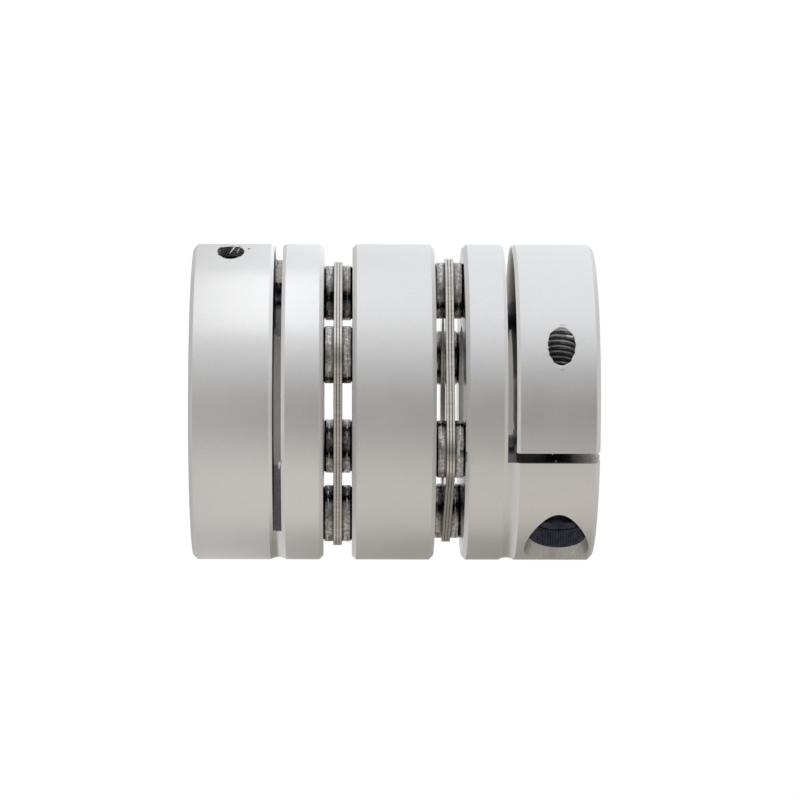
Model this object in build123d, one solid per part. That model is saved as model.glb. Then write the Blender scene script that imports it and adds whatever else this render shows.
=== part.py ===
from build123d import *
import math
import os

# Double disc coupling with clamping hubs, standing on one end.
# Millimetres, +Z up along the shaft axis, origin at the centre of the lower end face.
# The upper half is the lower half turned over, so each piece of a half is drawn once.

# Hubs
HUB_DIAMETER = 39.0
BORE_DIAMETER = 18.0
CLAMP_LENGTH = 9.95
FLANGE_LENGTH = 5.0
EDGE_CHAMFER = 0.5
BORE_CHAMFER = 0.4
GROOVE_WIDTH = 1.9
GROOVE_DEPTH = 0.28

# Saw cuts that free the clamping arm of each hub
AXIAL_SLIT_WIDTH = 1.25
AXIAL_SLIT_START = 0.2
CROSS_SLIT_WIDTH = 1.05
SAW_DIAMETER = 160.0
HINGE_ANGLE = 13.3

# Clamp screws, M4 cap heads
CLAMP_SCREW_OFFSET = 14.25
CLAMP_SCREW_HEIGHT = 4.65
CLAMP_THREAD = 4.0
CLAMP_HEAD_DIAMETER = 7.0
CLAMP_HEAD_HEIGHT = 4.0
CLAMP_SEAT = 6.8
CLAMP_HEAD_STANDOFF = 0.95
CLAMP_SCREW_LENGTH = 16.0
CLAMP_HOLE_CLEARANCE = 0.25
COUNTERBORE_CLEARANCE = 0.4
CLAMP_SOCKET = 3.0
CLAMP_SOCKET_DEPTH = 2.0

# Centre spacer
SPACER_LENGTH = 10.0
SPACER_BORE_DIAMETER = 20.0

# Disc packs
LEAF_COUNT = 3
LEAF_THICKNESS = 0.35
LEAF_HOLE_DIAMETER = 21.5
LOBE_RADIUS = 3.9
LEAF_EDGE_BREAK = 0.05
PITCH_DIAMETER = 29.5
COLLAR_DIAMETER = 6.85
COLLAR_THICKNESS = 1.225
COLLAR_CHAMFER = 0.25

# Pack screws, M3 low heads
PACK_THREAD = 3.0
PACK_HEAD_DIAMETER = 5.5
PACK_HEAD_HEIGHT = 2.0
PACK_ENGAGEMENT = 4.6
PACK_FIT = 0.05
POCKET_CLEARANCE = 0.7
POCKET_SPARE_DEPTH = 0.5
PACK_SOCKET = 2.0
PACK_SOCKET_DEPTH = 1.1
HUB_TAP_DEPTH = 7.3
SPACER_TAP_DEPTH = 6.0
SCREW_TIP_CHAMFER = 0.4
HEAD_CHAMFER = 0.3

# Clocking of the lower half about Z, and the level line that the upper half is turned over
LOWER_SLIT_AZIMUTH = 157.5
TURN_OVER_AZIMUTH = 45.0

HUB_RADIUS = HUB_DIAMETER / 2
HUB_LENGTH = CLAMP_LENGTH + CROSS_SLIT_WIDTH + FLANGE_LENGTH
PACK_THICKNESS = LEAF_COUNT * LEAF_THICKNESS
DISC_GAP = PACK_THICKNESS + 2 * COLLAR_THICKNESS
COUPLING_LENGTH = 2 * (HUB_LENGTH + DISC_GAP) + SPACER_LENGTH
PITCH_RADIUS = PITCH_DIAMETER / 2
POCKET_DEPTH = PACK_HEAD_HEIGHT + POCKET_SPARE_DEPTH
TURN_OVER = Axis(
    (0, 0, COUPLING_LENGTH / 2),
    (math.cos(math.radians(TURN_OVER_AZIMUTH)), math.sin(math.radians(TURN_OVER_AZIMUTH)), 0),
)
# Screws on the slit's line are tapped into the hub, and those square to it into the spacer.
HUB_TAPPED_ANGLES = (0, 180)
SPACER_TAPPED_ANGLES = (90, 270)


def turned_over(shape):
    """The same piece on the upper half: half a turn about the level line through mid-height."""
    return shape.rotate(TURN_OVER, 180)


def clocked(shape):
    """A piece drawn with the slit on +X, turned about Z to where the lower slit lies."""
    return shape.rotate(Axis.Z, LOWER_SLIT_AZIMUTH)


def upright(radius, bottom, height):
    """A plain cylinder standing on the level `bottom`."""
    return Pos(0, 0, bottom) * Cylinder(radius, height, align=(Align.CENTER, Align.CENTER, Align.MIN))


def at_pitch(shape, angle):
    """A piece drawn on the axis, moved out to the pitch circle at `angle` from the slit."""
    return Rot(0, 0, angle) * Pos(PITCH_RADIUS, 0, 0) * shape


def ring_profile(bore_radius, length, grooved_at=None):
    """Half section of a turned ring with broken edges and, on a hub, one shallow round groove."""
    radius = HUB_RADIUS
    with BuildSketch(Plane.XZ) as profile:
        with BuildLine():
            Polyline((bore_radius + BORE_CHAMFER, 0), (radius - EDGE_CHAMFER, 0), (radius, EDGE_CHAMFER))
            if grooved_at is None:
                Line((radius, EDGE_CHAMFER), (radius, length - EDGE_CHAMFER))
            else:
                low = (radius, grooved_at - GROOVE_WIDTH / 2)
                high = (radius, grooved_at + GROOVE_WIDTH / 2)
                Line((radius, EDGE_CHAMFER), low)
                ThreePointArc(low, (radius - GROOVE_DEPTH, grooved_at), high)
                Line(high, (radius, length - EDGE_CHAMFER))
            Polyline(
                (radius, length - EDGE_CHAMFER),
                (radius - EDGE_CHAMFER, length),
                (bore_radius + BORE_CHAMFER, length),
                (bore_radius, length - BORE_CHAMFER),
                (bore_radius, BORE_CHAMFER),
                (bore_radius + BORE_CHAMFER, 0),
            )
        make_face()
    return profile.sketch


def cross_slit():
    """The round saw's path: its rim meets the hub's surface at the axial slit and near the hinge."""
    start = Vector(math.sqrt(HUB_RADIUS**2 - AXIAL_SLIT_START**2), AXIAL_SLIT_START)
    end = Vector(HUB_RADIUS, 0).rotate(Axis.Z, 180 - HINGE_ANGLE)
    middle = (start + end) * 0.5
    half_chord = (end - start).length / 2
    away = Vector(0, 0, 1).cross(start - end).normalized()
    centre = middle + away * math.sqrt((SAW_DIAMETER / 2) ** 2 - half_chord**2)
    return Pos(centre.X, centre.Y, 0) * upright(SAW_DIAMETER / 2, CLAMP_LENGTH, CROSS_SLIT_WIDTH)


def axial_slit():
    """The straight cut through the clamp ring's wall, on the arm's side of the slit line."""
    height = CLAMP_LENGTH + CROSS_SLIT_WIDTH
    cut = Box(HUB_DIAMETER, AXIAL_SLIT_WIDTH, height, align=(Align.MIN, Align.MIN, Align.MIN))
    return Pos(0, AXIAL_SLIT_START, 0) * cut


def across(radius, start, end):
    """A cylinder along the clamp screw's axis, from Y = start to Y = end."""
    bar = Cylinder(radius, end - start, align=(Align.CENTER, Align.CENTER, Align.MIN))
    return Pos(CLAMP_SCREW_OFFSET, start, CLAMP_SCREW_HEIGHT) * Rot(-90, 0, 0) * bar


def clamp_screw_holes():
    """Counterbore and clearance hole in the fixed side, and the tapped hole in the arm."""
    slit_middle = AXIAL_SLIT_START + AXIAL_SLIT_WIDTH / 2
    counterbore = across(CLAMP_HEAD_DIAMETER / 2 + COUNTERBORE_CLEARANCE, -HUB_DIAMETER, -CLAMP_SEAT)
    clearance_hole = across(CLAMP_THREAD / 2 + CLAMP_HOLE_CLEARANCE, -CLAMP_SEAT, slit_middle)
    tapped_hole = across(CLAMP_THREAD / 2, slit_middle, HUB_DIAMETER)
    return counterbore + clearance_hole + tapped_hole


def head_pocket(face, inwards):
    """Clearance for a pack screw's head, sunk from the level `face`; inwards is +1 or -1 along Z."""
    radius = PACK_HEAD_DIAMETER / 2 + POCKET_CLEARANCE
    return upright(radius, min(face, face + inwards * POCKET_DEPTH), POCKET_DEPTH)


def tapped_hole(face, inwards, depth):
    return upright(PACK_THREAD / 2, min(face, face + inwards * depth), depth)


def hub():
    """Clamping hub with its end face at Z = 0, its slit on +X and its arm on the +Y side."""
    groove_level = CLAMP_LENGTH + CROSS_SLIT_WIDTH / 2
    body = revolve(ring_profile(BORE_DIAMETER / 2, HUB_LENGTH, groove_level), Axis.Z)
    body -= cross_slit()
    body -= axial_slit()
    body -= clamp_screw_holes()
    for angle in HUB_TAPPED_ANGLES:
        body -= at_pitch(tapped_hole(HUB_LENGTH, -1, HUB_TAP_DEPTH), angle)
    for angle in SPACER_TAPPED_ANGLES:
        body -= at_pitch(head_pocket(HUB_LENGTH, -1), angle)
    return body


def spacer():
    """Centre ring, with head pockets and tapped holes from both faces."""
    bottom = HUB_LENGTH + DISC_GAP
    body = Pos(0, 0, bottom) * revolve(ring_profile(SPACER_BORE_DIAMETER / 2, SPACER_LENGTH), Axis.Z)
    cuts = [at_pitch(head_pocket(bottom, 1), angle) for angle in HUB_TAPPED_ANGLES]
    cuts += [at_pitch(tapped_hole(bottom, 1, SPACER_TAP_DEPTH), angle) for angle in SPACER_TAPPED_ANGLES]
    for cut in cuts:
        body -= clocked(cut)
        body -= turned_over(clocked(cut))
    return body


def leaf(number):
    """One spring leaf: a square with round lobes about its four screw holes."""
    side = 2 * (PITCH_RADIUS * math.cos(math.radians(45)) + LOBE_RADIUS)
    blank = Rot(0, 0, 45) * RectangleRounded(side, side, LOBE_RADIUS)
    plate = extrude(blank, LEAF_THICKNESS)
    plate = chamfer(plate.faces().filter_by(Axis.Z).edges(), LEAF_EDGE_BREAK)
    plate -= upright(LEAF_HOLE_DIAMETER / 2, 0, LEAF_THICKNESS)
    for angle in HUB_TAPPED_ANGLES + SPACER_TAPPED_ANGLES:
        plate -= at_pitch(upright(PACK_THREAD / 2 + PACK_FIT, 0, LEAF_THICKNESS), angle)
    return Pos(0, 0, HUB_LENGTH + COLLAR_THICKNESS + (number - 1) * LEAF_THICKNESS) * plate


def collar(chamfer_up):
    """Steel collar about a pack screw, its outer edge broken on the side away from the leaves."""
    body = upright(COLLAR_DIAMETER / 2, 0, COLLAR_THICKNESS)
    end = body.faces().sort_by(Axis.Z)[-1 if chamfer_up else 0]
    body = chamfer(end.edges(), COLLAR_CHAMFER)
    return body - upright(PACK_THREAD / 2 + PACK_FIT, 0, COLLAR_THICKNESS)


def cap_screw(thread, length, head_diameter, head_height, socket, socket_depth):
    """Socket cap screw with its seat at Z = 0, its head above and its shank below."""
    head = upright(head_diameter / 2, 0, head_height)
    head = chamfer(head.faces().sort_by(Axis.Z)[-1].edges(), HEAD_CHAMFER)
    key_hole = extrude(RegularPolygon(socket / 2, 6, major_radius=False), socket_depth)
    head -= Pos(0, 0, head_height - socket_depth) * key_hole
    shank = upright(thread / 2, -length, length)
    shank = chamfer(shank.faces().sort_by(Axis.Z)[0].edges(), SCREW_TIP_CHAMFER)
    return head + shank


def clamp_screw():
    """The slack clamp screw, whose head stands a little off its seat."""
    screw = cap_screw(
        CLAMP_THREAD,
        CLAMP_SCREW_LENGTH,
        CLAMP_HEAD_DIAMETER,
        CLAMP_HEAD_HEIGHT,
        CLAMP_SOCKET,
        CLAMP_SOCKET_DEPTH,
    )
    underside = -CLAMP_SEAT - CLAMP_HEAD_STANDOFF
    return Pos(CLAMP_SCREW_OFFSET, underside, CLAMP_SCREW_HEIGHT) * Rot(90, 0, 0) * screw


def pack_screw(into_hub):
    """Pack screw through two collars and the leaves, drawn on the axis at its own level."""
    screw = cap_screw(
        PACK_THREAD,
        DISC_GAP + PACK_ENGAGEMENT,
        PACK_HEAD_DIAMETER,
        PACK_HEAD_HEIGHT,
        PACK_SOCKET,
        PACK_SOCKET_DEPTH,
    )
    if into_hub:
        return Pos(0, 0, HUB_LENGTH + DISC_GAP) * screw
    return Pos(0, 0, HUB_LENGTH) * Rot(180, 0, 0) * screw


def half_pieces():
    """Every piece of the lower half but the spacer, by name without its lower_ or upper_."""
    pieces = {"hub": hub(), "clamp_screw": clamp_screw()}
    for number in range(1, LEAF_COUNT + 1):
        pieces[f"disc_leaf_{number}"] = leaf(number)
    spots = [(angle, True) for angle in HUB_TAPPED_ANGLES]
    spots += [(angle, False) for angle in SPACER_TAPPED_ANGLES]
    hub_side = Pos(0, 0, HUB_LENGTH) * collar(chamfer_up=False)
    spacer_side = Pos(0, 0, HUB_LENGTH + COLLAR_THICKNESS + PACK_THICKNESS) * collar(chamfer_up=True)
    for number, (angle, into_hub) in enumerate(spots, start=1):
        pieces[f"hub_collar_{number}"] = at_pitch(hub_side, angle)
        pieces[f"spacer_collar_{number}"] = at_pitch(spacer_side, angle)
        pieces[f"pack_screw_{number}"] = at_pitch(pack_screw(into_hub), angle)
    return pieces


def main():
    os.makedirs("parts", exist_ok=True)
    export_step(spacer(), "parts/center_spacer.step")
    for name, shape in half_pieces().items():
        lower = clocked(shape)
        export_step(lower, f"parts/lower_{name}.step")
        export_step(turned_over(lower), f"parts/upper_{name}.step")
    print(f"coupling {HUB_DIAMETER} mm across, {COUPLING_LENGTH} mm long")


main()
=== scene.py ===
# %% [markdown]
# # A double disc coupling
#
# This coupling joins two shafts that never quite line up. Each end is an aluminium hub that clamps on its
# shaft with one socket screw. Between the hubs sits a centre spacer, and packs of three thin spring-steel
# leaves link it to each hub. The leaves bend a little, so the shafts may tilt, but nothing slips or rattles.
#
# The solid forms come from a CAD part, which is loaded first and stays fixed. This lesson adds what a lathe,
# a tap, a saw and a bead-blasting cabinet leave behind: threads, knurling, burrs, grain and wear.

import math

import bpy
import numpy as np
from mathutils import Matrix, Vector


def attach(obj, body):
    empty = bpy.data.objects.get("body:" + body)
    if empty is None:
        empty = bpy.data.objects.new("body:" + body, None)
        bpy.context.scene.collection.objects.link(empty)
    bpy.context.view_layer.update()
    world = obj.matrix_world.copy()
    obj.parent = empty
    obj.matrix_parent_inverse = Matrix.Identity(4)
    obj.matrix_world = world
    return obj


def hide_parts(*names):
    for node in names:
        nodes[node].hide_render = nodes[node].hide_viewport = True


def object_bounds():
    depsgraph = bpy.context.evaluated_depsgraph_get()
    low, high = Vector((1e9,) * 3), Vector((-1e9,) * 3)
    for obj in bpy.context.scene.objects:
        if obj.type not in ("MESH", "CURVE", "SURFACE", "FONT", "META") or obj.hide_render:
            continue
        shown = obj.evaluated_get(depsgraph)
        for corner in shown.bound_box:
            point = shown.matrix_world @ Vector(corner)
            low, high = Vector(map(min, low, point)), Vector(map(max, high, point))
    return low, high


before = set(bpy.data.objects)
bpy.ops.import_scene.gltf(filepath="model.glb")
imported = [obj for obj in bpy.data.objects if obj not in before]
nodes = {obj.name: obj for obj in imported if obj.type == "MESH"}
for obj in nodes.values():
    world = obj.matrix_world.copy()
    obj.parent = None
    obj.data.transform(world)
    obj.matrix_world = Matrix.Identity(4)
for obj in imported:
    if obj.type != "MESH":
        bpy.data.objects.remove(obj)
scene = bpy.context.scene
cad_low, cad_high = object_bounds()
print(f"{len(nodes)} solids in a box from {tuple(cad_low)} to {tuple(cad_high)}")

# %% [markdown]
# ## Sizes
#
# Blender works in metres here, and the coupling is as small as a cork, so every size is written in
# millimetres and multiplied by `MM`. The length and the hub's radius are read from the loaded solids. The
# other sizes are given: those of the clamp screw, a common M4 cap screw with the standard 0.7 mm thread,
# and the places of the screw and of the slits.

# %% Sizes read from the solids, and given ones
MM = 0.001
LENGTH = cad_high.z
HUB_RADIUS = cad_high.x
CLAMP_SCREW_HEIGHT = 4.65 * MM
CLAMP_SCREW_OFFSET = 14.25 * MM
HEAD_UNDERSIDE = 7.75 * MM
HEAD_RADIUS, HEAD_HEIGHT = 3.5 * MM, 4 * MM
SCREW_LENGTH = 16 * MM
SOCKET_WIDTH, SOCKET_DEPTH = 3 * MM, 2 * MM
THREAD_RADIUS, THREAD_PITCH = 2 * MM, 0.7 * MM
LOWER_SLIT_AZIMUTH = math.radians(157.5)
CROSS_SLIT = (9.95 * MM, 11 * MM)
AXIAL_SLIT = (0.2 * MM, 1.45 * MM)
print(f"coupling {LENGTH / MM:.1f} mm long and {2 * HUB_RADIUS / MM:.1f} mm across")

# %% [markdown]
# ## Two hubs from one set of axes
#
# Both hubs are the same part, so their details are worked out once, in the clamp's own axes: the slit lies
# along +X, the clamping arm on the +Y side, and the hub's outer end at height 0. One function turns such
# points to the lower hub. The upper hub is the lower one turned over about a level line at mid-height, which
# swaps X with Y and counts heights from the other end.

# %% From the clamp's axes to each hub
def on_lower_hub(points):
    """Turns points about the coupling's axis by the slit's direction."""
    turn, lean = math.cos(LOWER_SLIT_AZIMUTH), math.sin(LOWER_SLIT_AZIMUTH)
    x, y, z = np.moveaxis(points, -1, 0)
    return np.stack((turn * x - lean * y, lean * x + turn * y, z), axis=-1)


def on_upper_hub(points):
    """Does the same, then half a turn about the level line midway between X and Y, at mid-height."""
    x, y, z = np.moveaxis(on_lower_hub(points), -1, 0)
    return np.stack((y, x, LENGTH - z), axis=-1)


HUBS = {"lower": on_lower_hub, "upper": on_upper_hub}
print("hubs:", ", ".join(HUBS))

# %% [markdown]
# ## From a grid of points to a closed mesh
#
# Every new piece below is a grid: rows of points, each row a closed ring. A ring that wraps on to the first
# one makes a sleeve, and otherwise a point at each end closes the skin. Modelling this by hand with loops
# and extrusions would work, but a grid keeps the shape a plain formula. The signed volume of the finished
# skin tells whether its faces look outwards. If it is negative, each face is listed the other way round.

# %% Helpers that build a piece
def ring_faces(rows, columns, wraps):
    """Quads between each ring and the next, as four index grids laid side by side."""
    index = np.arange(rows * columns).reshape(rows, columns)
    following = np.roll(index, -1, axis=0) if wraps else index[1:]
    here = index if wraps else index[:-1]
    corners = (here, np.roll(here, -1, axis=1), np.roll(following, -1, axis=1), following)
    return np.stack(corners, axis=-1).reshape(-1, 4)


def fan_faces(ring, centre):
    """Triangles from one ring to its centre point."""
    return np.stack((ring, np.full_like(ring, centre), np.roll(ring, -1)), axis=-1)


def signed_volume(points, faces):
    """A sixth of the sum, over all triangles, of each corner's triple product with the other two."""
    a, b, c = points[faces[:, 0]], points[faces[:, 1]], points[faces[:, 2]]
    return np.einsum("ij,ij->", a, np.cross(b, c)) / 6


def skin(name, rings, wraps=False, crease=35, tones=None):
    """Makes a closed mesh object from an array of rings, with edges over the crease angle left sharp.

    Tones are one number per point, kept as the attribute "tone" for the material to read."""
    rows, columns, _ = rings.shape
    points = rings.reshape(-1, 3)
    quads = ring_faces(rows, columns, wraps)
    triangles = np.empty((0, 3), int)
    if not wraps:
        first, last = np.arange(columns), np.arange(columns) + (rows - 1) * columns
        points = np.vstack((points, rings[0].mean(axis=0), rings[-1].mean(axis=0)))
        ends = (fan_faces(first, len(points) - 2), fan_faces(last, len(points) - 1)[:, ::-1])
        triangles = np.vstack(ends)
    split = np.vstack((quads[:, :3], quads[:, [0, 2, 3]], triangles))
    if signed_volume(points - points.mean(axis=0), split) < 0:
        quads, triangles = quads[:, ::-1], triangles[:, ::-1]
    mesh = bpy.data.meshes.new(name)
    mesh.from_pydata(points.tolist(), [], quads.tolist() + triangles.tolist())
    mesh.shade_smooth()
    mesh.set_sharp_from_angle(angle=math.radians(crease))
    if tones is not None:
        kept = mesh.attributes.new("tone", "FLOAT", "POINT")
        kept.data.foreach_set("value", np.resize(tones.astype(np.float32).ravel(), len(points)))
    piece = bpy.data.objects.new(name, mesh)
    scene.collection.objects.link(piece)
    return piece


def finish_piece(piece, material):
    """Gives a piece its material and lets it ride with the coupling."""
    piece.data.materials.append(material)
    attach(piece, "root")
    print(f"{piece.name}: {len(piece.data.polygons)} faces")


print("helpers ready")

# %% [markdown]
# ## A short way to wire a material
#
# A procedural material is a small graph of nodes. Writing each node as one call, with what feeds it named
# beside it, keeps a material readable as a recipe. Every pattern here reads Object coordinates, which are
# plain metres on these pieces, so a grain of a tenth of a millimetre is a noise of scale 10,000.

# %% Helpers that wire a material
def add_node(tree, kind, inputs=None, **settings):
    """Adds a node, sets its options, then sets or links each named or numbered input."""
    made = tree.nodes.new(kind)
    for key, value in settings.items():
        setattr(made, key, value)
    for socket, value in (inputs or {}).items():
        if isinstance(value, bpy.types.NodeSocket):
            tree.links.new(value, made.inputs[socket])
        else:
            made.inputs[socket].default_value = value
    return made


def new_material(name, metallic):
    """A plain new material: returns it with its tree, its shader and its Object coordinates."""
    material = bpy.data.materials.new(name)
    material.use_nodes = True
    tree = material.node_tree
    shader = tree.nodes["Principled BSDF"]
    shader.inputs["Metallic"].default_value = metallic
    place = add_node(tree, "ShaderNodeTexCoord").outputs["Object"]
    return material, tree, shader, place


def noise(tree, place, grain, detail=2.0, stretch=(1, 1, 1)):
    """Noise from 0 to 1 whose blotches are about one grain across, in metres, drawn out by the stretch."""
    shrink = tuple(1 / (grain * s) for s in stretch)
    scaled = add_node(tree, "ShaderNodeMapping", {"Vector": place, "Scale": shrink}).outputs["Vector"]
    inputs = {"Vector": scaled, "Scale": 1.0, "Detail": detail, "Roughness": 0.6}
    return add_node(tree, "ShaderNodeTexNoise", inputs).outputs["Fac"]


def spread(tree, value, low, high, start=0.35, end=0.65):
    """Maps the middle of a noise, from start to end, to the span from low to high."""
    inputs = {"Value": value, "From Min": start, "From Max": end, "To Min": low, "To Max": high}
    return add_node(tree, "ShaderNodeMapRange", inputs).outputs["Result"]


def tint(tree, factor, first, second):
    """A colour that goes from the first to the second as the factor goes from 0 to 1."""
    inputs = {0: factor, 6: (*first, 1), 7: (*second, 1)}
    return add_node(tree, "ShaderNodeMix", inputs, data_type="RGBA").outputs[2]


def maths(tree, operation, *values):
    """One Math node on up to three numbers or sockets."""
    return add_node(tree, "ShaderNodeMath", dict(enumerate(values)), operation=operation).outputs[0]


def blend(tree, factor, first, second):
    """Mixes two colours or two numbers, each a value or a socket."""
    coloured = isinstance(second, tuple) or getattr(second, "type", "") == "RGBA"
    inputs = {0: factor, 6: first, 7: second} if coloured else {0: factor, 2: first, 3: second}
    mixed = add_node(tree, "ShaderNodeMix", inputs, data_type="RGBA" if coloured else "FLOAT")
    return mixed.outputs[2 if coloured else 0]


def bump(tree, height, distance):
    """Turns a height from 0 to 1 into a bump of that many metres."""
    inputs = {"Height": height, "Distance": distance, "Strength": 1.0}
    return add_node(tree, "ShaderNodeBump", inputs).outputs["Normal"]


def coordinate(tree, vector, axis):
    """One coordinate of a vector: its "X", "Y" or "Z"."""
    return add_node(tree, "ShaderNodeSeparateXYZ", {0: vector}).outputs[axis]


def connect(tree, shader, colour, roughness, normal=None):
    """Links a colour, a roughness and, where there is one, a bumped normal to a shader."""
    tree.links.new(colour, shader.inputs["Base Color"])
    tree.links.new(roughness, shader.inputs["Roughness"])
    if normal:
        tree.links.new(normal, shader.inputs["Normal"])


print("material helpers ready")

# %% [markdown]
# ## Blasted and anodised aluminium
#
# The hubs and the spacer are turned from aluminium bar, blasted with fine glass beads and anodised clear.
# The blasting leaves a satin skin of tiny dents, much finer than the eye can part, so it mostly shows as a
# broad, soft highlight. A roughness between 0.3 and 0.45 gives that, and a faint grain in the colour adds
# the rest. A second, slower noise clouds the roughness a little, as handling does.
#
# Not all of a hub is satin. The end faces were turned last, so they are smoother. The bore is bare reamed
# metal, and painted light makes it brighter than the skin, for the light that comes in through its open ends.
# The saw cuts are dusty grey, with painted light where light falls into them and painted shade deeper in.
# The counterbore is darkened by painted shade and streaked with a warm painted highlight. Painting these
# zones by hand would be slow. Each one is told apart here by plain geometry: its distance from the axis,
# its height, or the way that its surface faces.

# %% Zones of the hubs and the spacer
BORE_EDGE = 9.1 * MM
UNDER_SKIN = HUB_RADIUS - 0.33 * MM
LEVEL_COSINE = 0.98
COUNTERBORE_RADIUS = HEAD_RADIUS + 0.42 * MM
COUNTERBORE_END = -6 * MM


def distance_from_axis(tree, place):
    """The length of the X and Y part of a point."""
    flat = add_node(tree, "ShaderNodeVectorMath", {0: place, 1: (1, 1, 0)}, operation="MULTIPLY").outputs[0]
    return add_node(tree, "ShaderNodeVectorMath", {0: flat}, operation="LENGTH").outputs["Value"]


def level_faces(tree):
    """One where the surface faces straight up or down the coupling's axis, otherwise zero."""
    normal = add_node(tree, "ShaderNodeTexCoord").outputs["Normal"]
    upward = coordinate(tree, normal, "Z")
    return maths(tree, "GREATER_THAN", maths(tree, "ABSOLUTE", upward), LEVEL_COSINE)


def within(tree, value, span, margin=0.02 * MM):
    """One where the value lies within the span or a hair beyond it, otherwise zero."""
    return maths(tree, "COMPARE", value, sum(span) / 2, (span[1] - span[0]) / 2 + margin)


def in_clamp_axes(tree, place, side):
    """A point's coordinates in the axes of its own hub's clamp: out along the slit, across it, and up."""
    turn, lean = math.cos(LOWER_SLIT_AZIMUTH), math.sin(LOWER_SLIT_AZIMUTH)
    ways = ((turn, lean, 0), (-lean, turn, 0)) if side == "lower" else ((lean, turn, 0), (turn, -lean, 0))
    dot = {"operation": "DOT_PRODUCT"}
    along, across = (add_node(tree, "ShaderNodeVectorMath", {0: place, 1: way}, **dot) for way in ways)
    height = coordinate(tree, place, "Z")
    if side == "upper":
        height = maths(tree, "SUBTRACT", LENGTH, height)
    return along.outputs["Value"], across.outputs["Value"], height


def saw_cuts(tree, radius, clamp_axes):
    """One on the walls of the hub's cross slit and of its axial slit, otherwise zero."""
    outward, across, height = clamp_axes
    axial = maths(tree, "MULTIPLY", maths(tree, "GREATER_THAN", outward, 0), within(tree, across, AXIAL_SLIT))
    cuts = maths(tree, "MAXIMUM", axial, within(tree, height, CROSS_SLIT))
    in_wall = within(tree, radius, (BORE_EDGE, UNDER_SKIN), 0)
    return maths(tree, "MULTIPLY", in_wall, cuts)


def counterbore(tree, clamp_axes):
    """One inside the counterbore of the clamp screw, which is told by its distance from the screw's axis."""
    outward, across, height = clamp_axes
    spot = (CLAMP_SCREW_OFFSET, 0, CLAMP_SCREW_HEIGHT)
    flat = add_node(tree, "ShaderNodeCombineXYZ", {"X": outward, "Z": height}).outputs[0]
    apart = add_node(tree, "ShaderNodeVectorMath", {0: flat, 1: spot}, operation="DISTANCE").outputs["Value"]
    near = maths(tree, "LESS_THAN", apart, COUNTERBORE_RADIUS)
    return maths(tree, "MULTIPLY", near, maths(tree, "LESS_THAN", across, COUNTERBORE_END))


print("skin begins", UNDER_SKIN / MM, "mm from the axis")

# %% [markdown]
# ## The saw cuts, with painted light and shade
#
# Through the slits one sees the walls of the saw cuts, grey with fine dust. Painted light brightens them on
# the bright side, where light falls in, and in a glint, and painted shade makes them nearly black deeper in.
# Painting the walls by hand could show this, but a colour ramp along X, the way that the light falls, says
# the same in a few stops, and a noise breaks up its even bands.

# %% The tones of the saw cuts
# Painted light, the cuts' own dusty grey and painted shade, then the darker grey of the saw's streaks.
LIT_CUT, DUSTY, SHADED_CUT = (0.8, 0.77, 0.72, 1), (0.42, 0.41, 0.43, 1), (0.05, 0.047, 0.06, 1)
STREAK = (0.2, 0.19, 0.2, 1)
# Heights from the hub's outer end over which the cut gets painted light, as light falls in through the open
# end.
END_LIGHT_SPAN = (0.8 * MM, 5 * MM)

# Each stop is an X in millimetres and the tone there: painted light, painted shade or dusty grey.
CUT_TONES = {
    "lower": [(-14.8, LIT_CUT), (-14.3, SHADED_CUT), (-11.9, SHADED_CUT), (-11.4, DUSTY)],
    "upper": [(-12.6, LIT_CUT), (-12, SHADED_CUT), (-3.4, SHADED_CUT), (-2.6, LIT_CUT), (-1, DUSTY), (4, DUSTY)]
    + [(4.4, SHADED_CUT), (5.8, SHADED_CUT), (6.4, DUSTY)],
}


def cut_tone(tree, place, height, side):
    """The colour of the saw cuts: painted light, dusty grey or painted shade, changing along X and
    streaked by a noise.

    Near the hub's outer end, where light falls in through the open end, painted light makes the cut
    bright whatever the X."""
    share = spread(tree, coordinate(tree, place, "X"), 0, 1, -HUB_RADIUS, HUB_RADIUS)
    ramp = add_node(tree, "ShaderNodeValToRGB", {0: share})
    stops = ramp.color_ramp.elements
    stops[0].color, stops[1].color = CUT_TONES[side][0][1], DUSTY
    for edge, tone in CUT_TONES[side]:
        stops.new((edge * MM / HUB_RADIUS + 1) / 2).color = tone
    tone = blend(tree, spread(tree, height, 1, 0, *END_LIGHT_SPAN), ramp.outputs[0], LIT_CUT)
    streaks = spread(tree, noise(tree, place, 0.25 * MM, 3), 0, 0.5)
    return blend(tree, streaks, tone, STREAK)


print("stops:", {side: len(stops) for side, stops in CUT_TONES.items()})

# %% The aluminium materials
# The grain's grey, then a dark tone that is oil on the burrs and painted shade in the tapped holes, then
# painted light for the bore.
GRAIN_GREY, OIL_AND_SHADE, LIT_BORE = (0.35, 0.34, 0.33, 1), (0.07, 0.067, 0.067, 1), (0.96, 0.955, 0.94, 1)
# Painted shade darkens the counterbore, and a warm painted highlight streaks it.
COUNTERBORE_SHADE, COUNTERBORE_GLINT = (0.46, 0.45, 0.435), (0.72, 0.64, 0.56)
TURNED_ROUGHNESS, BORE_ROUGHNESS, SAWN_ROUGHNESS = 0.2, 0.6, 0.36
CLOUDING = 0.02
DENT_DEPTH = 0.0004 * MM


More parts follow.
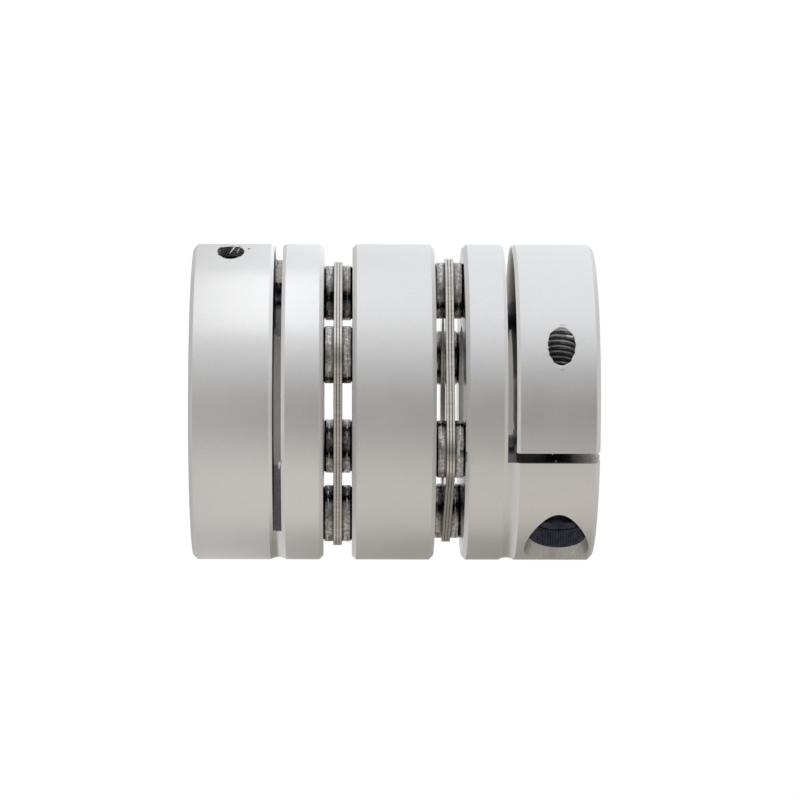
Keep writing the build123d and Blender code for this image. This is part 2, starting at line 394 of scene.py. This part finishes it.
def blasted_aluminium(name, silver, roughness, side=None):
    """Satin outside and smoother on level faces, with painted light in the bore and painted light and
    shade in the saw cuts and the counterbore.

    The attribute "tone" darkens it: 0 is clean and 1 is black. In the tapped holes it is painted shade."""
    material, tree, shader, place = new_material(name, 1.0)
    clouds, grain = noise(tree, place, 4 * MM, 3), noise(tree, place, 0.3 * MM, 2)
    clouded = spread(tree, clouds, 0, 1, 0.25, 0.75)
    cloudy = tint(tree, clouded, (silver,) * 3, (silver + CLOUDING,) * 3)
    colour = blend(tree, spread(tree, grain, 0, 0.07, 0.3, 0.7), cloudy, GRAIN_GREY)
    radius = distance_from_axis(tree, place)
    satin = spread(tree, clouds, roughness - CLOUDING, roughness + CLOUDING, 0.25, 0.75)
    turned = blend(tree, level_faces(tree), satin, TURNED_ROUGHNESS)
    in_bore = maths(tree, "LESS_THAN", radius, BORE_EDGE)
    # Painted light: the bore is coloured bright, for the light that would come in through its open ends.
    colour = blend(tree, in_bore, colour, LIT_BORE)
    finish = blend(tree, in_bore, turned, BORE_ROUGHNESS)
    darkening = add_node(tree, "ShaderNodeAttribute", attribute_name="tone").outputs["Fac"]
    # The tone darkens the metal: oil on the burrs, painted shade in the tapped holes.
    colour = blend(tree, darkening, colour, OIL_AND_SHADE)
    if side:
        clamp_axes = in_clamp_axes(tree, place, side)
        sawn, shaded_counterbore = saw_cuts(tree, radius, clamp_axes), counterbore(tree, clamp_axes)
        # The saw cuts take painted light and painted shade from their tone ramp.
        colour = blend(tree, sawn, colour, cut_tone(tree, place, clamp_axes[2], side))
        finish = blend(tree, sawn, finish, SAWN_ROUGHNESS)
        # The counterbore: painted shade, streaked with a warm painted highlight.
        glint_streaks = spread(tree, noise(tree, place, 0.35 * MM, 3, (2, 2, 0.5)), 0, 1, 0.56, 0.7)
        colour = blend(tree, shaded_counterbore, colour, tint(tree, glint_streaks, COUNTERBORE_SHADE, COUNTERBORE_GLINT))
    connect(tree, shader, colour, finish, bump(tree, grain, DENT_DEPTH))
    return material


aluminium = {
    # The lower hub is the same metal as the upper one; its lighter silver is painted light, for the brighter
    # light at that end.
    "lower": blasted_aluminium("lower_hub_aluminium", 0.82, 0.305, "lower"),
    "upper": blasted_aluminium("upper_hub_aluminium", 0.78, 0.42, "upper"),
    "center": blasted_aluminium("spacer_aluminium", 0.78, 0.43),
}
print("aluminium:", ", ".join(material.name for material in aluminium.values()))

# %% [markdown]
# ## Steels
#
# The leaves are punched from bright spring-steel strip, so their flat sides are smooth and their edges
# carry fine scores across the thickness, with oil in the joints between them. The collars are case-hardened
# steel, dark and mottled, with bright worn patches on flanks that are a little rounded. A bump rounds them
# here, since the real curve is finer than a tenth of a millimetre, and a painted highlight brightens each
# flank's middle while painted shade darkens its edges. The clamp screws have a blue-black oxide film and the
# hidden pack screws a clouded zinc one, so one recipe with two sets of numbers serves both.

# %% The steel materials
LEAF_THICKNESS = 0.35 * MM
PACK_FROM_MIDDLE = 6.225 * MM
PACK_MIDDLE = PACK_FROM_MIDDLE + 1.5 * LEAF_THICKNESS
COLLAR_FROM_PACK = 1.14 * MM
OILED_JOINT = (0.05, 0.04, 0.035, 1)
LEAF_FLAT = (0.74, 0.73, 0.71, 1)


def away(tree, value, level):
    """How far a value lies from a level, on either side."""
    return maths(tree, "ABSOLUTE", maths(tree, "SUBTRACT", value, level))


def from_middle(tree, place):
    """The height above or below the coupling's middle, so that one sum serves both packs."""
    return away(tree, coordinate(tree, place, "Z"), LENGTH / 2)


def between_leaves(tree, place):
    """One along the joints between leaves, falling to zero a sixth of a leaf away from them."""
    in_pack = maths(tree, "SUBTRACT", from_middle(tree, place), PACK_FROM_MIDDLE)
    leaves = maths(tree, "DIVIDE", in_pack, LEAF_THICKNESS)
    from_joint = maths(tree, "PINGPONG", leaves, 0.5)
    return spread(tree, from_joint, 1, 0, 0.06, 0.16)


def leaf_steel():
    """Bright on the flat sides, and scored across, with oil in the joints, along the punched edges."""
    material, tree, shader, place = new_material("leaf_steel", 1.0)
    flat = level_faces(tree)
    scores = noise(tree, place, 0.22 * MM, 2, (1, 1, 30))
    edge = tint(tree, spread(tree, scores, 0, 1, 0.3, 0.7), (0.55, 0.515, 0.475), (0.72, 0.69, 0.65))
    edge = blend(tree, between_leaves(tree, place), edge, OILED_JOINT)
    connect(tree, shader, blend(tree, flat, edge, LEAF_FLAT), blend(tree, flat, 0.3, 0.1))
    return material


def collar_steel():
    """Hardened steel, mottled, with bright worn spots, a painted highlight in the middle of its rounded
    flank and painted shade at its edges.

    The flank's middle is told by the height, counted from the coupling's middle and then from the pack's."""
    material, tree, shader, place = new_material("collar_steel", 1.0)
    from_pack = away(tree, from_middle(tree, place), PACK_MIDDLE)
    from_flank = away(tree, from_pack, COLLAR_FROM_PACK)
    barrel = spread(tree, from_flank, 1, 0, 0.05 * MM, 0.6 * MM)
    mottle = noise(tree, place, 0.4 * MM, 3)
    # The flank's middle is brighter and its edges darker: a painted highlight and painted shade over the
    # mottle.
    bright, middle = spread(tree, mottle, 0.4, 1, 0.42, 0.72), spread(tree, barrel, 0.15, 1, 0, 0.6)
    worn_and_highlit = maths(tree, "MULTIPLY", bright, middle)
    colour = tint(tree, worn_and_highlit, (0.06, 0.058, 0.07), (0.7, 0.68, 0.66))
    rounded = maths(tree, "ADD", barrel, maths(tree, "MULTIPLY", mottle, 0.03))
    connect(tree, shader, colour, spread(tree, mottle, 0.22, 0.13), bump(tree, rounded, 0.15 * MM))
    return material


def filmed_steel(name, metallic, grain, dark, light):
    """Steel under a thin film, whose noise of that grain clouds it from the dark tint to the light one."""
    material, tree, shader, place = new_material(name, metallic)
    film = noise(tree, place, grain, 3)
    colour = tint(tree, spread(tree, film, 0, 1), dark, light)
    connect(tree, shader, colour, spread(tree, film, 0.29, 0.36))
    return material


steels = {
    "leaf": leaf_steel(),
    "collar": collar_steel(),
    "clamp_screw": filmed_steel("black_oxide", 0.6, 0.6 * MM, (0.014, 0.017, 0.032), (0.044, 0.047, 0.074)),
    "pack_screw": filmed_steel("plated_steel", 1.0, 0.8 * MM, (0.42, 0.4, 0.38), (0.56, 0.54, 0.51)),
}
print("steels:", ", ".join(steels))

# %% [markdown]
# ## Dressing the CAD solids
#
# A CAD solid keeps its mesh as it is and only changes its material. The nodes are named by what they are,
# so the kind of steel follows from a word in the name.

# %% Materials on the CAD solids
def dress(name):
    """The material of a CAD node: steel if its name holds a steel's word, otherwise its own aluminium."""
    for word, steel in steels.items():
        if word in name:
            return steel
    return aluminium[name.split("_")[0]]


for name, node in nodes.items():
    node.data.materials.clear()
    node.data.materials.append(dress(name))
print("dressed", len(nodes), "solids")

# %% [markdown]
# ## The thread form
#
# A metric thread is a ridge that winds round the screw once per pitch, with flanks 60 degrees apart and
# narrow flats at crest and root. Blender can make one with a Screw modifier, but here the radius of each
# grid point simply follows from its angle and its place along the axis. The same formula serves the screw
# and the tapped hole, whose ridges lie where the other's grooves are.

# %% Radius of a threaded surface
ROOT_FLAT, CREST_FLAT = 0.125, 0.75


def thread_radius(turn, along, widest, depth):
    """The widest radius less the depth, in step with a wave that winds once round the axis per pitch.

    The wave falls and rises evenly between 0 and 1. Its ends are cut off, which leaves the two flats."""
    phase = along / THREAD_PITCH - turn / (2 * np.pi)
    wave = np.abs(2 * (phase % 1) - 1)
    ridge = np.clip((wave - ROOT_FLAT) / (CREST_FLAT - ROOT_FLAT), 0, 1)
    return widest - depth * ridge


print("thread pitch", THREAD_PITCH / MM, "mm")

# %% [markdown]
# ## Threads in the clamping arms
#
# The clamp screw pulls on a thread tapped right through each arm. The screw ends inside the arm, so the last
# turns show through the mouth of the hole. Each is a sleeve: its inner rings follow the thread from the
# screw's end to the hub's skin, its rings at the mouth lie in the skin, and it closes behind itself in solid
# metal. A hole seen from outside shows at once whether its thread is real or painted on.

# %% The tapped holes
TAP_COLUMNS, TAP_ROWS = 96, 110
TAP_DEPTH = 0.38 * MM
TAP_CREST = THREAD_RADIUS - TAP_DEPTH
MOUTH_RADIUS = 1.63 * MM
MOUTH_FADE, MOUTH_SHARE = 0.3 * MM, 0.2
SLEEVE_RADIUS = THREAD_RADIUS + 0.03 * MM
SLEEVE_START = SCREW_LENGTH - HEAD_UNDERSIDE - 0.2 * MM
UNDER_GLOSS = 0.004 * MM
# Painted shade inside the tapped hole: some on the crests, more in the roots, fading out near the mouth.
CREST_SHADE, ROOT_SHADE, SHADE_FADE = 0.42, 0.4, 0.12 * MM


def along_hole(turn, radius, along):
    """Points at an angle and radius round the clamp screw's axis, which runs along +Y."""
    x = CLAMP_SCREW_OFFSET + radius * np.sin(turn)
    z = CLAMP_SCREW_HEIGHT + radius * np.cos(turn)
    return np.stack(np.broadcast_arrays(x, along, z), axis=-1)


def hub_skin(turn, radius):
    """How far along the screw's axis a line at that angle and radius leaves the hub's round skin.

    By Pythagoras it is the root of the skin's radius squared less X squared."""
    x = CLAMP_SCREW_OFFSET + radius * np.sin(turn)
    return np.sqrt((HUB_RADIUS - UNDER_GLOSS) ** 2 - x**2)


def tapped_sleeve():
    """Threaded rings up to the mouth, then rings in the hub's skin, then one ring back inside the metal.

    Near the mouth the thread fades to a share of its depth, in proportion to the way left to the skin.
    The second array is the painted shade of each point: darkest in the roots, lighter on the crests, none in
    the skin."""
    turn = np.linspace(0, 2 * np.pi, TAP_COLUMNS, endpoint=False)
    end = hub_skin(turn, MOUTH_RADIUS)
    along = SLEEVE_START + np.linspace(0, 1, TAP_ROWS)[:, None] * (end - SLEEVE_START)
    thread = thread_radius(turn, along, THREAD_RADIUS, TAP_DEPTH)
    inside = np.clip((np.minimum(end, hub_skin(turn, thread)) - along) / MOUTH_FADE, 0, 1)
    radius = MOUTH_RADIUS + (thread - MOUTH_RADIUS) * (MOUTH_SHARE + (1 - MOUTH_SHARE) * inside)
    inner = along_hole(turn, radius, np.minimum(along, hub_skin(turn, radius)))
    rim = [radius[-1] + share * (SLEEVE_RADIUS - radius[-1]) for share in (0.01, 0.5, 1)]
    skins = [along_hole(turn, ring, hub_skin(turn, ring)) for ring in rim]
    back = along_hole(turn, rim[-1], np.full(TAP_COLUMNS, SLEEVE_START))
    # Painted shade: darkest in the roots, none at the mouth and in the skin.
    darkening = CREST_SHADE + ROOT_SHADE * np.clip((radius - TAP_CREST) / (0.6 * TAP_DEPTH), 0, 1)
    darkening *= np.clip((end - along) / SHADE_FADE, 0, 1)
    return np.concatenate((inner, skins, [back])), np.concatenate((darkening, np.zeros((4, TAP_COLUMNS))))


sleeve_rings, sleeve_shade = tapped_sleeve()
for side, on_hub in HUBS.items():
    sleeve = skin(f"{side}_tapped_thread", on_hub(sleeve_rings), wraps=True, tones=sleeve_shade)
    finish_piece(sleeve, dress(f"{side}_hub"))

# %% [markdown]
# ## Clamp screws
#
# A cap screw's head is knurled so that fingers can start it, and has a hexagon socket for the key. Next to
# the underside the knurl gives way to a smooth band and a long bevel. The head stands in a counterbore that
# breaks out of the hub's side, so its flank shows, and the slack screw has not been driven home. It is one
# grid of rings from the socket's floor, over the head and down the shank to the tip. Each ring may be round,
# hexagonal, knurled or threaded.

# %% The shape of the clamp screw
SCREW_COLUMNS = 384
KNURLS = 64
KNURL_DEPTH = 0.12 * MM
LEAD_LENGTH, BAND_LENGTH = 0.72 * MM, 1.62 * MM
BAND_RADIUS = HEAD_RADIUS - 0.04 * MM
SEAT_RADIUS = HEAD_RADIUS - 0.7 * MM
SOCKET_BEVEL, SOCKET_MOUTH_RADIUS = 0.15 * MM, 1.85 * MM
TOP_EDGE = [(0, 0.3 * MM), (0.1 * MM, 0.13 * MM)]
SHANK_CREST = 1.97 * MM
SHANK_DEPTH = 0.42 * MM


def hexagon(turn, width):
    """Radius of a hexagon: half its width over the cosine of the angle from the nearest flat's middle."""
    return width / 2 / np.cos((turn + np.pi / 6) % (np.pi / 3) - np.pi / 6)


def knurl(turn):
    """The head's radius less a row of even V grooves."""
    groove = np.abs(2 * (turn * KNURLS / (2 * np.pi) % 1) - 1)
    return HEAD_RADIUS - KNURL_DEPTH * groove


def head_rings(turn):
    """Heights and radii from the socket's floor to the underside, which lies at height 0 below the head.

    First the socket, then the top and its edge, the knurl, a groove, the smooth band and the bevel."""
    top, even, key = -HEAD_HEIGHT, np.ones_like(turn), hexagon(turn, SOCKET_WIDTH)
    rings = [(top + SOCKET_DEPTH, 0.6 * key), (top + SOCKET_DEPTH, key)]
    rings += [(top + SOCKET_BEVEL, key), (top, SOCKET_MOUTH_RADIUS * even)]
    rings += [(top + down, (HEAD_RADIUS - inward) * even) for down, inward in TOP_EDGE]
    rings += [(height, knurl(turn)) for height in np.linspace(top + 0.2 * MM, -BAND_LENGTH, 6)]
    rings += [(-BAND_LENGTH + 0.05 * MM, (HEAD_RADIUS - 1.6 * KNURL_DEPTH) * even)]
    rings += [(-BAND_LENGTH + 0.15 * MM, BAND_RADIUS * even), (-LEAD_LENGTH, BAND_RADIUS * even)]
    return [*rings, (0, SEAT_RADIUS * even)]


def shank_rings(turn, rows_per_turn=6):
    """Threaded rings from the seat to the tip, which is turned down to the root over the last turn."""
    along = np.arange(0, SCREW_LENGTH, THREAD_PITCH / rows_per_turn)
    taper = np.clip((SCREW_LENGTH - along) / THREAD_PITCH, 0.25, 1)
    crests = SHANK_CREST - SHANK_DEPTH * (1 - taper)
    threads = np.minimum(thread_radius(turn, along[:, None], SHANK_CREST, SHANK_DEPTH), crests[:, None])
    return [*zip(along, threads), (SCREW_LENGTH, np.full_like(turn, SHANK_CREST - SHANK_DEPTH))]


def screw_grid():
    """All rings along the clamp screw's axis, with the underside at its own distance from the slit line."""
    turn = np.linspace(0, 2 * np.pi, SCREW_COLUMNS, endpoint=False)
    rings = head_rings(turn) + shank_rings(turn)
    return np.stack([along_hole(turn, radius, height - HEAD_UNDERSIDE) for height, radius in rings])


screw_rings = screw_grid()
for side, on_hub in HUBS.items():
    screw = skin(f"{side}_cap_screw", on_hub(screw_rings))
    finish_piece(screw, steels["clamp_screw"])
    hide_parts(f"{side}_clamp_screw")

# %% [markdown]
# ## Burrs and chips
#
# The saw and the tap left thin curls hanging on the edges they cut, and a few chips sit where they fell.
# Each is a tapered tube bent along a Bezier curve, which needs only three or four control points. Sculpting
# would give freer shapes, but the curls are only a few hairs thick, so little but their course and tone
# shows. The points are written round the hub's axis: distance, angle from the slit, and height. Tone 0 is
# clean metal and tone 1 is black with oil.

# %% The burrs
def bezier(controls, share):
    """Points on a Bezier curve: each control point counts by its binomial share along the curve."""
    order = len(controls) - 1
    power = np.arange(order + 1)
    count = np.array([math.comb(order, k) for k in power])
    return count * share[:, None] ** power * (1 - share[:, None]) ** (order - power) @ controls


def curl(path, thickness, seed, rows=24, columns=10):
    """Rings of a flat tube along the path, thickest in the middle and uneven by a seeded wave.

    Each point of the path is a distance from the axis, an angle in degrees and a height."""
    distance, angle, height = np.array(path, float).T
    angle = np.radians(angle)
    controls = np.stack((distance * np.cos(angle), distance * np.sin(angle), height), axis=-1) * MM
    share = np.linspace(0, 1, rows)
    middle = bezier(controls, share)
    forward = np.gradient(middle, axis=0)
    forward /= np.linalg.norm(forward, axis=1, keepdims=True)
    outward = middle * (1, 1, 0)
    sideways = np.cross(forward, outward)
    sideways /= np.linalg.norm(sideways, axis=1, keepdims=True)
    outward = np.cross(sideways, forward)
    phases = np.random.default_rng(seed).uniform(0, 2 * np.pi, 2)
    uneven = 1 + 0.25 * np.sin(9 * share + phases[0]) + 0.15 * np.sin(23 * share + phases[1])
    reach = (thickness * MM * uneven * (0.25 + 0.75 * np.sin(np.pi * share) ** 0.7))[:, None, None]
    turn = np.linspace(0, 2 * np.pi, columns, endpoint=False)[None, :, None]
    around = np.cos(turn) * sideways[:, None] + 0.5 * np.sin(turn) * outward[:, None]
    return middle[:, None] + reach * around


# Each curl's thickness and tone, then its path in millimetres and degrees.
BURRS = {
    "lower_mouth_strand": (0.1, 0.3, [(19.56, 35.5, 5.15), (19.5, 38, 4.95), (19.25, 43, 4.5)]),
    "lower_mouth_hair": (0.05, 0.35, [(19.5, 38, 5.75), (19.4, 39.5, 5.5), (19.2, 42, 5.4)]),
    "lower_mouth_flake": (0.13, 0.2, [(19.55, 35.5, 5.55), (19.55, 36, 5.85), (19.5, 38, 6.0)]),
    "lower_mouth_tuft": (0.08, 1.0, [(19.5, 41, 3.05), (19.6, 38, 3.25), (19.5, 37, 3.6)]),
    "lower_mouth_crumb": (0.13, 1.0, [(19.5, 39.6, 6.68), (19.5, 39.2, 6.85), (19.5, 39.4, 7.02)]),
    "lower_slit_curl": (0.06, 1.0, [(19.48, 49, 9.98), (19.46, 52, 10.7), (19.46, 56, 10.5), (19.5, 57, 10)]),
    "lower_slit_fold": (0.06, 0.8, [(19.2, 63.5, 10.98), (19.3, 63, 10.6), (19.1, 65, 10.5), (19, 67, 10.8)]),
    "lower_slit_flag": (0.14, 0.1, [(19.45, 133.6, 10.98), (19.4, 134.6, 10.75), (19.3, 137, 10.8)]),
    "lower_slit_rag": (0.07, 0.8, [(19.44, 165, 9.98), (19.5, 166.4, 10.4), (19.44, 165, 10.98)]),
    "lower_flange_burr": (0.06, 0.8, [(19.2, 62.2, 15.95), (19.4, 62.4, 16.2), (19.5, 62.3, 15.9)]),
    "upper_mouth_chip": (0.13, 0.1, [(19.45, 46.7, 4.05), (19.4, 46.1, 3.6), (19.45, 46.4, 3.15)]),
    "upper_mouth_grain": (0.12, 0.0, [(19.5, 44.9, 6.2), (19.53, 44.6, 6.24), (19.5, 44.2, 6.2)]),
    "upper_mouth_crumb": (0.15, 0.0, [(19.5, 42.4, 6.24), (19.53, 42, 6.28), (19.5, 41.6, 6.24)]),
    "upper_mouth_bead": (0.12, 0.0, [(19.5, 39.9, 6.2), (19.53, 39.5, 6.24), (19.5, 39.2, 6.2)]),
    "upper_mouth_scratch": (0.05, 0.6, [(19.49, 50.6, 4.9), (19.49, 50.9, 4.5), (19.49, 50.6, 4.0)]),
    "upper_slit_tick": (0.04, 0.3, [(19.48, 4.4, 5.73), (19.46, 4.0, 5.73), (19.4, 3.6, 5.7)]),
    "upper_slit_curl": (0.04, 0.3, [(19.4, 0.9, 5.35), (19.46, 1.3, 5.25), (19.4, 1.7, 5.3)]),
    "upper_slit_end": (0.1, 0.3, [(19.3, 1.0, 0.9), (19.3, 2.4, 0.45), (19.2, 2.0, 0.2), (19.2, 3.6, 0.12)]),
}
for seed, (name, (thickness, tone, path)) in enumerate(BURRS.items()):
    rings = curl(path, thickness, seed)
    side = name.split("_")[0]
    burr = skin(name, HUBS[side](rings), tones=np.full(rings.shape[:2], tone))
    finish_piece(burr, dress(f"{side}_hub"))

# %% [markdown]
# ## Light dome
#
# Satin metal has almost no colour of its own: it shows a blurred picture of what stands around it. A dome
# of white cloth, brighter on one side, is how such parts are lit in a studio. The dome here is one grid
# surface that glows inwards. Going round the compass from the camera's side, which is dark, it has a wide
# cool panel on the -X side and behind the object, a dim gap, and a narrower, warm panel on the +X side. The
# camera looks through the cloth to a white world, so the backdrop is plain.

# %% The light dome
DOME_RADIUS = 0.65
DARK, COOL, SOFT = (0.062, 0.058, 0.054), (0.535, 0.545, 0.56), (0.54, 0.555, 0.57)
DIM, WARM = (0.135, 0.126, 0.11), (0.325, 0.302, 0.268)
DOME_TOP = (0.35, 0.34, 0.33)
DOME_STRENGTH = 2.0
TOP_FADE = (0.3 * DOME_RADIUS, 0.9 * DOME_RADIUS)

# Each stop is a bearing in degrees from the camera's side and the cloth's colour there.
DOME_EDGES = [(1, DARK), (55, COOL), (100, COOL), (125, SOFT), (170, SOFT), (202, DIM), (245, DIM)]
DOME_EDGES += [(268, WARM), (312, WARM), (344, DARK)]


def dome_points(columns=48, rows=12):
    """Rings of a hemisphere: the radius times the sine and cosine of the height angle, up to the zenith."""
    around = np.arange(columns) * 2 * np.pi / columns
    upward = np.linspace(-0.02, np.pi / 2 - 0.05, rows)[:, None]
    flat = np.cos(upward)
    height = np.sin(upward) * np.ones(columns)
    return DOME_RADIUS * np.stack((flat * np.cos(around), flat * np.sin(around), height), axis=-1)


def dome_material():
    """Glowing cloth: a colour ramp goes once round the compass, from the camera's side by way of -X."""
    material = bpy.data.materials.new("dome_cloth")
    material.use_nodes = True
    tree = material.node_tree
    tree.nodes.clear()
    place = add_node(tree, "ShaderNodeTexCoord").outputs["Object"]
    x, y, z = (coordinate(tree, place, axis) for axis in "XYZ")
    turn = spread(tree, maths(tree, "ARCTAN2", x, y), 0, 1, -math.pi, math.pi)
    ramp = add_node(tree, "ShaderNodeValToRGB", {0: turn})
    stops = ramp.color_ramp.elements
    stops[0].color, stops[1].color = (*DARK, 1), (*DARK, 1)
    for degrees, cloth in DOME_EDGES:
        stops.new(degrees / 360).color = (*cloth, 1)
    glow = blend(tree, spread(tree, z, 0, 1, *TOP_FADE), ramp.outputs[0], (*DOME_TOP, 1))
    light = add_node(tree, "ShaderNodeEmission", {"Color": glow, "Strength": DOME_STRENGTH})
    add_node(tree, "ShaderNodeOutputMaterial", {"Surface": light.outputs[0]})
    return material


dome = skin("light_dome", dome_points())
dome.data.materials.append(dome_material())
dome.visible_camera = False
dome.visible_shadow = False
print("dome edges:", len(DOME_EDGES))

# %% [markdown]
# ## A low strip lamp
#
# One strip lamp, as thin as a finger, lies on the floor beside the lower hub, on the bright side. It lifts
# the satin highlight there and fades towards the upper hub, as a lamp close to the work does.

# %% The strip lamp
STRIP_PLACE = Vector((-0.112, -0.034, 0.0062))
STRIP_WATTS = 0.0027
STRIP_LENGTH, STRIP_WIDTH = 0.115, 0.012

strip = bpy.data.lights.new("strip_lamp", "AREA")
strip.shape = "RECTANGLE"
strip.energy, strip.size, strip.size_y = STRIP_WATTS, STRIP_LENGTH, STRIP_WIDTH
strip_lamp = bpy.data.objects.new("strip_lamp", strip)
strip_lamp.location = STRIP_PLACE
strip_lamp.rotation_euler = (STRIP_PLACE * Vector((-1, -1, 0))).to_track_quat("-Z", "Y").to_euler()
scene.collection.objects.link(strip_lamp)
print("strip lamp", round(STRIP_PLACE.length / MM), "mm away")

# %% [markdown]
# ## Floor and world
#
# The floor is a wide white disc. To the camera, and in the metal, it mostly glows a plain white, and the
# rest of it is ordinary diffuse white, which keeps the coupling's soft shadow. The world beyond is white to
# the same rays and gives everything else only a faint light.

# %% Floor and world
FLOOR_RADIUS, FLOOR_THICKNESS = 3.0, 0.01
FLOOR_WHITE = (0.82, 0.82, 0.82, 1)
FLOOR_GLOW, GLOW_STRENGTH = 0.92, 1.08
FLOOR_IN_METAL = 0.3
WORLD_FILL = 0.2


def seen_directly(tree, in_metal=1.0):
    """One for rays from the camera or through glass, the given share for rays from metal, zero for others."""
    path = add_node(tree, "ShaderNodeLightPath").outputs
    metal = maths(tree, "MULTIPLY", path["Is Glossy Ray"], in_metal)
    straight = maths(tree, "MAXIMUM", path["Is Camera Ray"], path["Is Transmission Ray"])
    return maths(tree, "MAXIMUM", straight, metal)


def floor_material():
    """Diffuse white for light that falls on the object and for its shadow, a white glow for what sees it."""
    material = bpy.data.materials.new("white_floor")
    material.use_nodes = True
    tree = material.node_tree
    tree.nodes.clear()
    matt = add_node(tree, "ShaderNodeBsdfDiffuse", {"Color": FLOOR_WHITE}).outputs[0]
    glow = add_node(tree, "ShaderNodeEmission", {"Strength": GLOW_STRENGTH}).outputs[0]
    share = maths(tree, "MULTIPLY", seen_directly(tree, FLOOR_IN_METAL), FLOOR_GLOW)
    mixed = add_node(tree, "ShaderNodeMixShader", {0: share, 1: matt, 2: glow}).outputs[0]
    add_node(tree, "ShaderNodeOutputMaterial", {"Surface": mixed})
    return material


around = np.arange(64) * 2 * np.pi / 64
rim = np.stack((np.cos(around), np.sin(around), np.zeros(64)), axis=-1) * FLOOR_RADIUS
floor = skin("floor", np.stack((rim, rim - (0, 0, FLOOR_THICKNESS))))
floor.data.materials.append(floor_material())

world = bpy.data.worlds.new("white_world")
world.use_nodes = True
scene.world = world
sky = world.node_tree.nodes["Background"]
sky.inputs["Color"].default_value = (1, 1, 1, 1)
brightness = spread(world.node_tree, seen_directly(world.node_tree), WORLD_FILL, 1, 0, 1)
world.node_tree.links.new(brightness, sky.inputs["Strength"])
print("floor and world ready")

# %% [markdown]
# ## Camera
#
# A long lens from half a metre away keeps the cylinder's sides nearly straight. The coupling stands on its
# end but is seen lying, so the camera is rolled a quarter turn: its right is the coupling's upward axis and
# its top points to the bright side. It aims a little above the middle, and its roll is out of square by
# about an eighth of a degree.

# %% The camera
CAMERA_DISTANCE = 0.4464
CAMERA_HEIGHT = 18.57 * MM
CAMERA_SIDE = -0.238 * MM
CAMERA_TURN = 0.01535
CAMERA_LEAN = 0.0024

lens = bpy.data.cameras.new("camera")
lens.lens, lens.sensor_width = 162.2, 36
lens.clip_start = 0.01
camera = bpy.data.objects.new("camera", lens)
scene.collection.objects.link(camera)
scene.camera = camera
eye = Vector((CAMERA_SIDE, -CAMERA_DISTANCE, CAMERA_HEIGHT))
forward = Vector((0, math.cos(CAMERA_TURN), math.sin(CAMERA_TURN)))
right = forward.cross(Vector((-1, 0, 0)))
facing = Matrix((right, right.cross(forward), -forward)).transposed()
camera.matrix_world = Matrix.Translation(eye) @ (facing @ Matrix.Rotation(CAMERA_LEAN, 3, "Z")).to_4x4()
print("camera at", tuple(round(v, 4) for v in eye))

# %% [markdown]
# ## Colours
#
# The Standard view shows colours as they are written.

# %% Finish
scene.view_settings.view_transform = "Standard"
